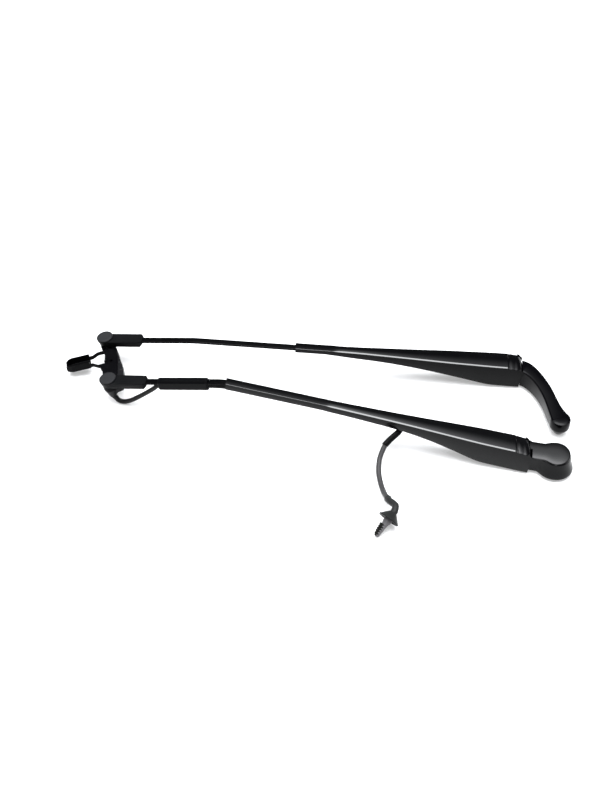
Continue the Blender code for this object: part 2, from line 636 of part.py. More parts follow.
def trough_section(half, low, high, wall):
    return ((-half, high), (-half, low + 1.5 * MM), (-half + 1.5 * MM, low), (half - 1.5 * MM, low),
            (half, low + 1.5 * MM), (half, high), (half - wall, high), (half - wall, low + wall + 0.5 * MM),
            (half - wall - 0.5 * MM, low + wall), (-half + wall + 0.5 * MM, low + wall),
            (-half + wall, low + wall + 0.5 * MM), (-half + wall, high))


def make_blade_holder():
    """Open trough that takes the blade's saddle, with two ears on the coupler's cross pin."""
    frame = COUPLER_FRAME
    body = "blade_holder"
    half = TROUGH_W / 2
    low, high = TROUGH_BOTTOM, TROUGH_TOP
    rings = []
    for x, spread, lift, crop in ((TROUGH_FROM, 0, 0, 0), (TROUGH_TO + 7 * MM, 0, 0, 0),
                                  (TROUGH_TO + 2.5 * MM, 1.2 * MM, 0.6 * MM, 0.8 * MM),
                                  (TROUGH_TO, 3.0 * MM, 1.8 * MM, 2.6 * MM)):
        section = trough_section(half - spread, low + lift, high - crop, TROUGH_WALL)
        rings.append([frame @ Vector((x, TROUGH_MID + y, z)) for y, z in section])
    holder = add_piece("blade_holder", skin(rings), body, "black_casting")
    nose = [(TROUGH_TO + 0.2 * MM, -half + 3.4 * MM), (TROUGH_TO + 2.4 * MM, -half + 1.6 * MM),
            (TROUGH_TO + 2.4 * MM, half - 1.6 * MM), (TROUGH_TO + 0.2 * MM, half - 3.4 * MM)]
    nose = [(x, y + TROUGH_MID) for x, y in nose]
    join(holder, "trough_nose", prism(nose, frame, low + 1.6 * MM, high - 2.8 * MM), body)
    for name, ear, side in (("near", NEAR_EAR, -1), ("far", FAR_EAR, 1)):
        wall = TROUGH_MID + side * (half - TROUGH_WALL / 2)
        path = [Vector((TROUGH_FROM - 3 * MM, wall, -16.6 * MM)), Vector((-20 * MM, wall, -16.5 * MM)),
                Vector((-13 * MM, ear, -15.8 * MM)), Vector((-3 * MM, ear, -15.4 * MM))]
        rings = []
        for i, (point, deep, wide) in enumerate(zip(path, (5.6, 5.0, 4.2, 4.2), (1.7, 2.2, 3.0, 3.0))):
            section = chamfered(wide * MM / 2, -deep * MM / 2, deep * MM / 2, 0.5 * MM)
            rings.append([frame @ (point + Vector((0.0, y, z))) for y, z in section])
        join(holder, name + "_leg", skin(rings), body)
        place = pin_frame(frame @ Matrix.Translation(HOLDER_PIN + Vector((0.0, ear, 0.0))))
        eye = ((EAR_R, -EAR_T / 2 - 0.05 * MM), (EAR_R, EAR_T / 2 + 0.05 * MM))
        join(holder, name + "_ear", lathe(eye, place, 20), body)
        bore = HOLDER_PIN_R + GAP / 2
        cut(holder, name + "_ear_bore", lathe(((bore, -4 * MM), (bore, 4 * MM)), place, 16), body)


def make_manifold(frame):
    """Washer inlet under the drive tip: a cone with a web and a hose nipple, fixed on the pivot pin."""
    body = "drive_arm"
    cone = ((2.6 * MM, MANIFOLD_BOTTOM), (4.0 * MM, MANIFOLD_BOTTOM + 0.9 * MM),
            (7.4 * MM, MANIFOLD_TOP - 1.2 * MM), (7.6 * MM, MANIFOLD_TOP))
    manifold = add_piece("washer_manifold", lathe(cone, frame, 28), body, "black_plastic")
    spout = frame @ axis_frame(NIPPLE_ROOT, NIPPLE_AXIS.normalized())
    join(manifold, "manifold_nipple", lathe(((NIPPLE_R, 0.0), (NIPPLE_R, NIPPLE_LENGTH)), spout, 20), body)
    web = ((3.0, -28.0), (5.0, -26.0), (9.0, -21.6), (15.0, -18.8), (17.0, -17.6), (17.0, -16.5), (3.0, -16.5))
    web = [(x * MM, z * MM) for x, z in web]
    join(manifold, "manifold_web", prism(web, side_frame(frame), -2.4 * MM, 2.4 * MM), body)
    bore = TIP_PIN_R + GAP / 2
    seat = ((bore, -22.0 * MM), (bore, MANIFOLD_TOP + 2 * MM))
    cut(manifold, "manifold_bore", lathe(seat, frame, 24), body)


def make_follower_washer(frame):
    low = MANIFOLD_TOP - 1.6 * MM
    inner = TIP_PIN_R + GAP / 2
    washer = ((inner, low), (7.4 * MM, low), (7.4 * MM, MANIFOLD_TOP), (inner, MANIFOLD_TOP))
    add_piece("follower_pivot_washer", lathe(washer, frame, 24, True), "follower_arm", "steel")
    retainer_top = low - 0.2 * MM
    clip = ((inner, retainer_top - MM), (5.4 * MM, retainer_top - MM), (5.4 * MM, retainer_top),
            (inner, retainer_top))
    add_piece("follower_pivot_clip", lathe(clip, frame, 24, True), "follower_arm", "steel")


def rod_side_frame(distance):
    """Frame on the drive rod, at a distance from the tip pivot: X along the rod, Z up."""
    start, corner, end = rod_points(DRIVE_FRAME, DRIVE_SKEW, DRIVE_BEND, DRIVE_TIP)
    along = (corner - end).normalized()
    across = Vector((0.0, 0.0, 1.0)).cross(along).normalized()
    base = DRIVE_TIP + TIP_NORMAL * ROD_LEVEL
    return columns_frame(base + along * distance, along, across, along.cross(across))


def make_hose_sleeve():
    """Moulded sleeve that ties the hose under the drive rod."""
    body = "drive_arm"
    frame = rod_side_frame(0.0)
    high = ROD_T / 2 + SLEEVE_OVER
    rings = []
    for x, inset in ((SLEEVE_FROM, 1.3), (SLEEVE_FROM + 1.6 * MM, 0.0), (SLEEVE_TO - 1.6 * MM, 0.0),
                     (SLEEVE_TO, 1.3)):
        half, low, top = SLEEVE_W / 2 - inset * MM * 0.6, high - SLEEVE_H + inset * MM * 0.6, high - inset * MM * 0.3
        rings.append([frame @ Vector((x, y, z)) for y, z in chamfered(half, low, top, 2.0 * MM)])
    sleeve = add_piece("hose_sleeve", skin(rings), body, "black_rubber")
    reach = (SLEEVE_FROM - 3 * MM, SLEEVE_TO + 3 * MM)
    slot = chamfered(ROD_W / 2 + GAP, -ROD_T / 2 - GAP, ROD_T / 2 + GAP, 0.5 * MM)
    cut(sleeve, "sleeve_rod_slot", skin([[frame @ Vector((x, y, z)) for y, z in slot] for x in reach]), body)
    level = hose_level()
    round_slot = arc((0.0, level), HOSE_R + 0.35 * MM, 0.0, 345.0, 23)
    cut(sleeve, "sleeve_hose_bore", skin([[frame @ Vector((x, y, z)) for y, z in round_slot] for x in reach]), body)


def hose_level():
    """Height of the hose's centre under the rod's centre."""
    return -ROD_T / 2 - HOSE_R - 1.1 * MM


def held_hose_points():
    """The hose from the nipple, round its loop, under the rod and along the retainer to its way out."""
    frame = tip_frame(DRIVE_TIP, TIP_FORE)
    spout = NIPPLE_AXIS.normalized()
    nipple = frame @ (NIPPLE_ROOT + spout * (NIPPLE_LENGTH + GAP + HOSE_STUB))
    loop = [Vector(p) * MM for p in HOSE_LOOP]
    rod = [rod_side_frame(x * MM) @ Vector((0.0, 0.0, hose_level())) for x in (62, 66, 80, 95, 110, 124, 132)]
    channel = []
    for x, y, z in HOSE_IN_RETAINER:
        channel.append(DRIVE_FRAME @ Vector((x * MM, x * MM * DRIVE_SKEW + y * MM, z * MM)))
    return [nipple] + loop + rod + channel


def make_hose():
    """Held hose, the boot on its way out, and the free hose: each ends square to the next."""
    held = smooth_curve(held_hose_points(), 2)
    spout = (tip_frame(DRIVE_TIP, TIP_FORE).to_3x3() @ NIPPLE_AXIS).normalized()
    hose_piece("washer_hose", [held[0] - spout * HOSE_STUB] + held, HOSE_R, "drive_arm", "black_rubber")
    free = smooth_curve([Vector(p) * MM for p in FREE_HOSE], 3)
    leave = (held[-1] - held[-2]).normalized()
    enter = (free[1] - free[0]).normalized()
    first, last = held[-1] + leave * GAP, free[0] - enter * GAP
    middle = [first + leave * HOSE_STUB] + [Vector(p) * MM for p in HOSE_BOOT] + [last - enter * HOSE_STUB]
    boot = [first] + smooth_curve(middle, 3) + [last]
    hose_piece("hose_boot", boot, HOSE_R + 0.7 * MM, "drive_arm", "black_rubber")
    hose_piece("free_hose", free, HOSE_R, "drive_arm", "grey_hose")


def make_hose_plug():
    """Elbow, umbrella grommet and fir-tree plug at the free end of the hose."""
    body = "drive_arm"
    free = [Vector(p) * MM for p in FREE_HOSE]
    along = (free[-1] - free[-2]).normalized()
    axis = PLUG_AXIS.normalized()
    start = free[-1] + along * GAP
    reach = ELBOW_REACH
    rise = (PLUG_CORNER - start).normalized()
    elbow_path = smooth_curve([start, start + along * 4 * MM, PLUG_CORNER - rise * 5 * MM,
                               PLUG_CORNER + axis * 5 * MM], 3) + [PLUG_CORNER + axis * reach]
    hose_piece("hose_elbow", elbow_path, HOSE_R + 1.1 * MM, body, "black_rubber")
    place = axis_frame(PLUG_CORNER + axis * (reach + GAP), axis)
    umbrella = ((4.2, 0.0), (5.4, 1.2), (9.2, 5.2), (12.2, 8.4), (12.7, 9.2), (12.0, 10.0), (7.4, 8.6),
                (5.4, 10.0), (4.9, 13.2), (3.8, 14.4))
    umbrella = [(r * MM, s * MM) for r, s in umbrella]
    add_piece("hose_grommet", lathe(umbrella, place, 28), body, "black_rubber")
    stem = [(2.9, 14.7), (4.9, 16.0), (4.9, 17.4), (3.3, 18.4), (4.8, 20.4), (3.2, 21.4), (4.6, 23.4),
            (3.1, 24.4), (4.2, 26.4), (2.9, 27.4), (3.8, 29.4), (2.6, 32.4)]
    add_piece("hose_plug", lathe([(r * MM, s * MM) for r, s in stem], place, 20), body, "black_plastic")


def head_outline(radius, start):
    """Thumb shape in plan: a neck that blends into a round end about the spindle."""
    side = []
    steps = 9
    for i in range(steps):
        x = start + (0.0 - start) * i / steps
        bulge = math.sqrt(max(radius ** 2 - x * x, 0.0))
        gap = abs(bulge - NECK_HALF)
        blend = max(NECK_BLEND - gap, 0.0) ** 2 / (4 * NECK_BLEND)
        side.append((x, max(bulge, NECK_HALF) + blend))
    front = arc((0.0, 0.0), radius, 90.0, -90.0, 20)
    return side + front + [(x, -y) for x, y in reversed(side)]


def level_rings(levels, start):
    return [[Vector((x, y, z)) for x, y in head_outline(radius, start)] for z, radius in levels]


def make_drive_head():
    body = "drive_head"
    start = HINGE_X + 3.4 * MM
    levels = ((SKIRT_Z, BULB_R_LOW), (7.0 * MM, 21.2 * MM), (10.0 * MM, 20.4 * MM), (14.0 * MM, 19.0 * MM),
              (18.0 * MM, 17.9 * MM), (21.0 * MM, 17.3 * MM), (HEAD_SPLIT, BULB_R_HIGH))
    head = add_piece("drive_head", skin(level_rings(levels, start)), body, "black_paint")
    add_tongue(head, "drive", DRIVE_HINGE, body)
    centre = Matrix.Identity(4)
    boss = ((BOSS_R - 0.8 * MM, 0.0), (BOSS_R, 0.8 * MM), (BOSS_R, SKIRT_Z + 1.0 * MM))
    join(head, "spindle_boss", lathe(boss, centre, 32), body)
    bore = ((SPINDLE_BORE_LOW, -1 * MM), (SPINDLE_BORE_LOW, 0.0), (SPINDLE_BORE_HIGH, NUT_SEAT_Z + 1 * MM))
    cut(head, "spindle_bore", lathe(bore, centre, 28), body)
    pocket = ((NUT_POCKET_R, NUT_SEAT_Z), (NUT_POCKET_R, HEAD_TOP + 2 * MM))
    cut(head, "nut_pocket", lathe(pocket, centre, 28), body)

    lid_low = HEAD_SPLIT + GAP
    lid = ((lid_low, BULB_R_HIGH), (HEAD_TOP - 1.6 * MM, 15.9 * MM), (HEAD_TOP - 0.6 * MM, 15.4 * MM),
           (HEAD_TOP, 14.4 * MM))
    cap = add_piece("drive_head_cap", skin(level_rings(lid, start)), body, "black_paint")
    frame = side_frame(DRIVE_HINGE)
    cut(cap, "cap_hinge_clearance", prism(clearance_outline(), frame, -20 * MM, 20 * MM), body)
    ring = ((9.6 * MM, 20.6 * MM), (11.9 * MM, 20.6 * MM), (11.9 * MM, lid_low + 0.4 * MM),
            (9.6 * MM, lid_low + 0.4 * MM))
    join(cap, "cap_spigot", lathe(ring, centre, 28, True), body)


def make_follower_head():
    body = "follower_head"
    points = [Vector((x, y, 0.0)) * MM for x, y, _, _, _ in CRANK]
    rings = []
    for i, (x, y, width, bottom, top) in enumerate(CRANK):
        ahead = points[min(i + 1, len(points) - 1)] - points[max(i - 1, 0)]
        across = Vector((ahead.y, -ahead.x, 0.0)).normalized()
        section = chamfered(width * MM / 2, bottom * MM, top * MM, CRANK_BEVEL)
        rings.append([points[i] + across * a + Vector((0.0, 0.0, z)) for a, z in section])
    head = add_piece("follower_head", skin(rings), body, "black_paint")
    add_tongue(head, "follower", FOLLOWER_HINGE, body)
    place = Matrix.Translation(FOLLOWER_AXIS)
    hub = ((4.9, 0.0), (5.5, 0.7), (11.3, 10.0), (HUB_R / MM, 11.6), (HUB_R / MM, 22.0), (10.2, 24.3))
    join(head, "follower_hub", lathe([(r * MM, z * MM) for r, z in hub], place, 28), body)
    bore = ((STUD_BORE_R, -1 * MM), (STUD_BORE_R, 16 * MM))
    cut(head, "stud_bore", lathe(bore, place, 20), body)


def make_arm(side, frame, hinge, skew, wall_end, stations, bend, tip, body, head_body):
    make_retainer(side + "_retainer", frame, stations, skew, wall_end, body)
    make_hinge_pieces(side, hinge, body, head_body)
    make_rod(side, frame, skew, bend, tip, body)
    make_rod_hook(side, frame, skew, body)
    make_spring(side, frame, hinge, skew, body)
    _, corner, end = rod_points(frame, skew, bend, tip)
    place = tip_frame(tip, corner - end)
    make_socket(side, place, end, corner, body)
    return place


def make_assembly():
    clear_scene()
    make_materials()
    make_bodies()
    make_drive_head()
    make_follower_head()
    near = make_arm("drive", DRIVE_FRAME, DRIVE_HINGE, DRIVE_SKEW, DRIVE_WALL_END_R, DRIVE_STATIONS, DRIVE_BEND,
                    DRIVE_TIP, "drive_arm", "drive_head")
    far = make_arm("follower", FOLLOWER_FRAME, FOLLOWER_HINGE, 0.0, FOLLOWER_WALL_END_R, FOLLOWER_STATIONS,
                   FOLLOWER_BEND, FOLLOWER_TIP, "follower_arm", "follower_head")
    make_tip_pivot("drive", near, "drive_arm", -21.6 * MM)
    make_tip_pivot("follower", far, "follower_arm", -20.4 * MM)
    make_manifold(near)
    make_follower_washer(far)
    make_coupler()
    make_nozzle_block()
    make_blade_holder()
    make_hose_sleeve()
    make_hose()
    make_hose_plug()


make_assembly()
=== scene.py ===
"""Windshield wiper assembly: fine surfaces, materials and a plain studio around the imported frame."""
import math

import bmesh
import bpy
from mathutils import Matrix, Vector


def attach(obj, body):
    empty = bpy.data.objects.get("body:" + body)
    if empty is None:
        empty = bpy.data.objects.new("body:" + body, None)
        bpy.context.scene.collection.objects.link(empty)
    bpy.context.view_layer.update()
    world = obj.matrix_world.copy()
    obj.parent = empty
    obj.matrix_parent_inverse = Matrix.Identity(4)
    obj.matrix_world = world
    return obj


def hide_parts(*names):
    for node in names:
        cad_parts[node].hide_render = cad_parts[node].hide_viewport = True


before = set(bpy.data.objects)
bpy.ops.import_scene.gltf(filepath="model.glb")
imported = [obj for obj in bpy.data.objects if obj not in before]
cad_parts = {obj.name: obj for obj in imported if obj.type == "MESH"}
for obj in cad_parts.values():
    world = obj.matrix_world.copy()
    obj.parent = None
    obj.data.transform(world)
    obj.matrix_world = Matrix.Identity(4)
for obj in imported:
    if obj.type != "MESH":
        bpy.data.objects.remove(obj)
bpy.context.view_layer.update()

MM = 0.001

# Where the drive spindle's axis stands, and the hinge line beside it.
SPINDLE = Vector((290.4, -64.2, 0.0)) * MM
PLACE = Matrix.Translation(SPINDLE)
HINGE_X = -38.0 * MM
HINGE_Z = 23.6 * MM
HINGE_YAW = math.radians(9.3)
HINGE_SPACING = 139.2 * MM

# Retainers: stations are (distance from the hinge, width, depth) in mm.
ROLL_R = 9.2 * MM
SHEET = 1.3 * MM
DRIVE_PITCH = math.radians(5.1)
FOLLOWER_PITCH = math.radians(2.9)
DRIVE_SKEW = -math.tan(HINGE_YAW) * math.cos(DRIVE_PITCH)
DRIVE_STATIONS = ((0, 28, 30.0), (30, 27.4, 29.9), (46, 27, 29.6), (54, 26.4, 28.4), (62, 25.6, 26.4),
                  (80, 23.8, 21.6), (108, 20.8, 15.6), (143, 17.4, 11.4), (190, 14.4, 9.4), (228, 12.2, 8.8),
                  (231, 11.8, 8.6), (346, 11.6, 8.6))
FOLLOWER_STATIONS = ((0, 28, 30.0), (14, 27.7, 30.0), (26, 27.4, 29.8), (36, 26.9, 28.8), (46, 26.2, 26.8),
                     (80, 23.8, 20.4), (120, 19.6, 14.6), (160, 15.8, 10.6), (196, 12.8, 8.8), (226, 11.8, 6.4),
                     (230, 11.6, 6.0), (268, 11.6, 6.0))
DRIVE_WALL_END_R = 11.2 * MM
FOLLOWER_WALL_END_R = 10.1 * MM
DRIVE_STRIP_END = 229.0
FOLLOWER_STRIP_END = 222.0
STRIP_FALL = math.radians(22.0)
GROOVE_X = 8.6
ROLL_PROFILE = ((9.6, 0.0), (9.3, 0.12), (9.0, 0.4), (8.7, 0.6), (8.2, 0.6), (7.8, 0.42), (7.3, 0.2), (6.4, 0.0),
                (5.2, -0.12), (4.0, -0.15), (2.8, -0.13), (1.6, -0.07), (0.6, 0.0))
ROLL_STEPS = (0.2, 1.2, 2.2, 3.2, 4.2, 5.2, 6.2, 7.1, 7.9, 8.6, 9.0, 9.15)
ROLL_DROP = 0.65
ROLL_DROP_FROM = 6.0
ROLL_DROP_RUN = 5.0

# Head, its cap and the crank.
HEAD_TOP = 28.3 * MM
HEAD_SPLIT = 23.6 * MM
SKIRT_Z = 5.0 * MM
NECK_HALF = 11.6 * MM
NECK_BLEND = 5.0 * MM
CRANK = ((-57.0, 137.2, 21.6, 3.0, 27.3), (-48.5, 136.2, 20.6, 3.0, 27.2), (-41.0, 131.8, 18.4, 3.2, 27.0),
         (-33.0, 123.6, 16.5, 3.8, 26.8), (-26.0, 114.2, 15.7, 4.6, 26.5), (-19.6, 103.6, 15.5, 5.5, 26.0),
         (-13.6, 91.0, 15.5, 6.4, 25.4), (-8.0, 78.0, 17.0, 7.2, 24.8), (-3.0, 68.0, 20.0, 8.4, 24.4),
         (1.0, 61.0, 23.0, 9.6, 24.2))
CRANK_CORNER = (1.4, 2.4)
FOLLOWER_AXIS = Vector((1.0, 61.0, 0.0)) * MM
CAP_END_R = 9.95 * MM
CAP_FALL = 1.5
CAP_SLOPE = 0.06
CAP_BEND = 0.0012
CAP_HALF = 15.2 * MM
CAP_CROWN = ((0.0, 15.9, 1.0), (0.3, 15.75, 1.0), (0.55, 15.5, 1.0), (0.72, 15.2, 0.975), (0.95, 15.2, 0.9),
             (1.2, 15.2, 0.75), (1.4, 15.2, 0.55), (1.5, 15.2, 0.35), (1.52, 15.2, 0.15), (1.52, 15.2, 0.02))
HEAD_CLEAR_R = 10.6 * MM
TONGUE_HALF = 8.6 * MM
TONGUE_R = 7.3 * MM

# Hose routes, mm from the spindle's foot.
HOSE_R = 3.0 * MM
FREE_HOSE = ((-194.0, -22.4, 20.0), (-196.1, -28.3, 15.5), (-197.4, -34.7, 11.0), (-197.1, -42.5, 7.5),
             (-195.7, -50.7, 4.8), (-193.2, -58.9, 3.6), (-190.1, -67.5, 3.6), (-186.0, -77.9, 5.5),
             (-181.5, -88.1, 9.5), (-177.2, -96.4, 13.5))
PLUG_CORNER = Vector((-165.4, -112.0, 21.0)) * MM
PLUG_AXIS = Vector((-0.442, -0.774, -0.454)).normalized()
ELBOW_REACH = 7.0 * MM
PLUG_BARBS = ((17.0, 5.6, 3.4), (19.8, 5.4, 3.4), (22.6, 5.2, 3.2), (25.4, 4.9, 3.0), (28.2, 4.4, 2.8))

# Camera: azimuth and elevation, distance, and the picture point that the skirt's centre falls on.
CAMERA_AZIMUTH = math.radians(12.0)
CAMERA_ELEVATION = math.radians(45.0)
CAMERA_DISTANCE = 1.5
CAMERA_FOCAL_PX = 1304.35
CAMERA_ANCHOR_PX = (554.0, 466.3)
PICTURE = (600, 800)
SENSOR = 36.0

# Light: the sun's strength, and the dome's brightness low down, at the top and in between.
SUN_ENERGY = 2.6
SUN_SPREAD = math.radians(50.0)
DOME_LOW = 0.1
FLOOR_GLOW = 0.4
FLOOR_HALF = 4.0
DOME_TOP = 12.0
DOME_START = 0.63
DOME_POWER = 2.4


def columns(origin, x_axis, y_axis, z_axis):
    matrix = Matrix((x_axis, y_axis, z_axis)).transposed().to_4x4()
    matrix.translation = origin
    return matrix


def arm_frame(offset, pitch):
    """Frame on the hinge line: X towards the tip, Y along the hinge pin."""
    along = Vector((-math.sin(HINGE_YAW), math.cos(HINGE_YAW), 0.0))
    hinge = Vector((HINGE_X, 0.0, HINGE_Z)) + along * offset
    turn = Matrix.Rotation(math.pi + HINGE_YAW, 4, "Z") @ Matrix.Rotation(-pitch, 4, "Y")
    return PLACE @ Matrix.Translation(hinge) @ turn


DRIVE_FRAME = arm_frame(0.0, DRIVE_PITCH)
FOLLOWER_FRAME = arm_frame(HINGE_SPACING, FOLLOWER_PITCH)
FOLLOWER_HINGE = arm_frame(HINGE_SPACING, 0.0)


# ---------------------------------------------------------------- studio

def make_camera():
    back = Vector((math.sin(CAMERA_AZIMUTH) * math.cos(CAMERA_ELEVATION),
                   -math.cos(CAMERA_AZIMUTH) * math.cos(CAMERA_ELEVATION), math.sin(CAMERA_ELEVATION)))
    right = Vector((math.cos(CAMERA_AZIMUTH), math.sin(CAMERA_AZIMUTH), 0.0))
    up = back.cross(right)
    u = (CAMERA_ANCHOR_PX[0] - PICTURE[0] / 2) / CAMERA_FOCAL_PX
    v = -(CAMERA_ANCHOR_PX[1] - PICTURE[1] / 2) / CAMERA_FOCAL_PX
    anchor = SPINDLE + Vector((0.0, 0.0, SKIRT_Z))
    place = anchor - (-back + right * u + up * v) * CAMERA_DISTANCE
    data = bpy.data.cameras.new("camera")
    data.sensor_width = SENSOR
    data.lens = CAMERA_FOCAL_PX * SENSOR / max(PICTURE)
    data.clip_end = 20.0
    camera = bpy.data.objects.new("camera", data)
    camera.matrix_world = columns(place, right, up, back)
    bpy.context.scene.collection.objects.link(camera)
    bpy.context.scene.camera = camera


def make_lights():
    """A wide soft lamp overhead: a bright dome that falls off towards the horizon, and a broad sun at its middle."""
    sun = bpy.data.lights.new("overhead", "SUN")
    sun.energy = SUN_ENERGY
    sun.angle = SUN_SPREAD
    lamp = bpy.data.objects.new("overhead", sun)
    lamp.rotation_euler = (math.radians(4.0), math.radians(-3.0), 0.0)
    bpy.context.scene.collection.objects.link(lamp)
    world = bpy.data.worlds.new("studio")
    world.use_nodes = True
    nodes, links = world.node_tree.nodes, world.node_tree.links
    background = nodes["Background"]
    background.inputs["Color"].default_value = (0.95, 0.97, 1.0, 1.0)
    place = nodes.new("ShaderNodeTexCoord")
    split = nodes.new("ShaderNodeSeparateXYZ")
    links.new(place.outputs["Generated"], split.inputs["Vector"])
    rise = nodes.new("ShaderNodeMapRange")
    rise.inputs["From Min"].default_value = DOME_START
    rise.inputs["From Max"].default_value = 1.0
    links.new(split.outputs["Z"], rise.inputs["Value"])
    curve = nodes.new("ShaderNodeMath")
    curve.operation = "POWER"
    curve.inputs[1].default_value = DOME_POWER
    links.new(rise.outputs["Result"], curve.inputs[0])
    level = nodes.new("ShaderNodeMath")
    level.operation = "MULTIPLY_ADD"
    level.inputs[1].default_value = DOME_TOP
    level.inputs[2].default_value = DOME_LOW
    links.new(curve.outputs[0], level.inputs[0])
    links.new(level.outputs[0], background.inputs["Strength"])
    bpy.context.scene.world = world
    bpy.context.scene.view_settings.view_transform = "Standard"


def make_floor():
    bm = bmesh.new()
    bmesh.ops.create_grid(bm, x_segments=1, y_segments=1, size=FLOOR_HALF)
    mesh = bpy.data.meshes.new("floor")
    bm.to_mesh(mesh)
    bm.free()
    floor = bpy.data.objects.new("floor", mesh)
    bpy.context.scene.collection.objects.link(floor)
    shader = MATERIALS["floor"].node_tree.nodes["Principled BSDF"]
    shader.inputs["Emission Color"].default_value = (1.0, 1.0, 1.0, 1.0)
    shader.inputs["Emission Strength"].default_value = FLOOR_GLOW
    mesh.materials.append(MATERIALS["floor"])


# ---------------------------------------------------------------- materials

MATERIALS = {}


def surface(name, low, high, rough, grain, bump, metallic=0.0, specular=0.35, coat=0.0, stretch=(1.0, 1.0, 1.0)):
    """Principled surface whose colour and roughness vary with noise, with a fine grain as bump.

    low and high are the darkest and lightest colour, rough is (smoothest, roughest), grain is the grain's
    scale per metre, and stretch draws the grain out along an axis.
    """
    material = bpy.data.materials.new(name)
    material.use_nodes = True
    nodes, links = material.node_tree.nodes, material.node_tree.links
    shader = nodes["Principled BSDF"]
    shader.inputs["Metallic"].default_value = metallic
    shader.inputs["Specular IOR Level"].default_value = specular
    shader.inputs["Coat Weight"].default_value = coat
    shader.inputs["Coat Roughness"].default_value = 0.12
    place = nodes.new("ShaderNodeTexCoord")
    mapping = nodes.new("ShaderNodeMapping")
    mapping.inputs["Scale"].default_value = stretch
    links.new(place.outputs["Object"], mapping.inputs["Vector"])
    cloud = nodes.new("ShaderNodeTexNoise")
    cloud.inputs["Scale"].default_value = 60.0
    cloud.inputs["Detail"].default_value = 5.0
    links.new(mapping.outputs["Vector"], cloud.inputs["Vector"])
    fine = nodes.new("ShaderNodeTexNoise")
    fine.inputs["Scale"].default_value = grain
    fine.inputs["Detail"].default_value = 3.0
    links.new(mapping.outputs["Vector"], fine.inputs["Vector"])
    tone = nodes.new("ShaderNodeMix")
    tone.data_type = "RGBA"
    tone.inputs["A"].default_value = (*low, 1.0)
    tone.inputs["B"].default_value = (*high, 1.0)
    links.new(cloud.outputs["Fac"], tone.inputs["Factor"])
    links.new(tone.outputs["Result"], shader.inputs["Base Color"])
    gloss = nodes.new("ShaderNodeMapRange")
    gloss.inputs["From Min"].default_value = 0.3
    gloss.inputs["From Max"].default_value = 0.7
    gloss.inputs["To Min"].default_value = rough[0]
    gloss.inputs["To Max"].default_value = rough[1]
    links.new(cloud.outputs["Fac"], gloss.inputs["Value"])
    links.new(gloss.outputs["Result"], shader.inputs["Roughness"])
    relief = nodes.new("ShaderNodeBump")
    relief.inputs["Strength"].default_value = bump
    relief.inputs["Distance"].default_value = 0.1 * MM
    links.new(fine.outputs["Fac"], relief.inputs["Height"])
    links.new(relief.outputs["Normal"], shader.inputs["Normal"])
    MATERIALS[name] = material


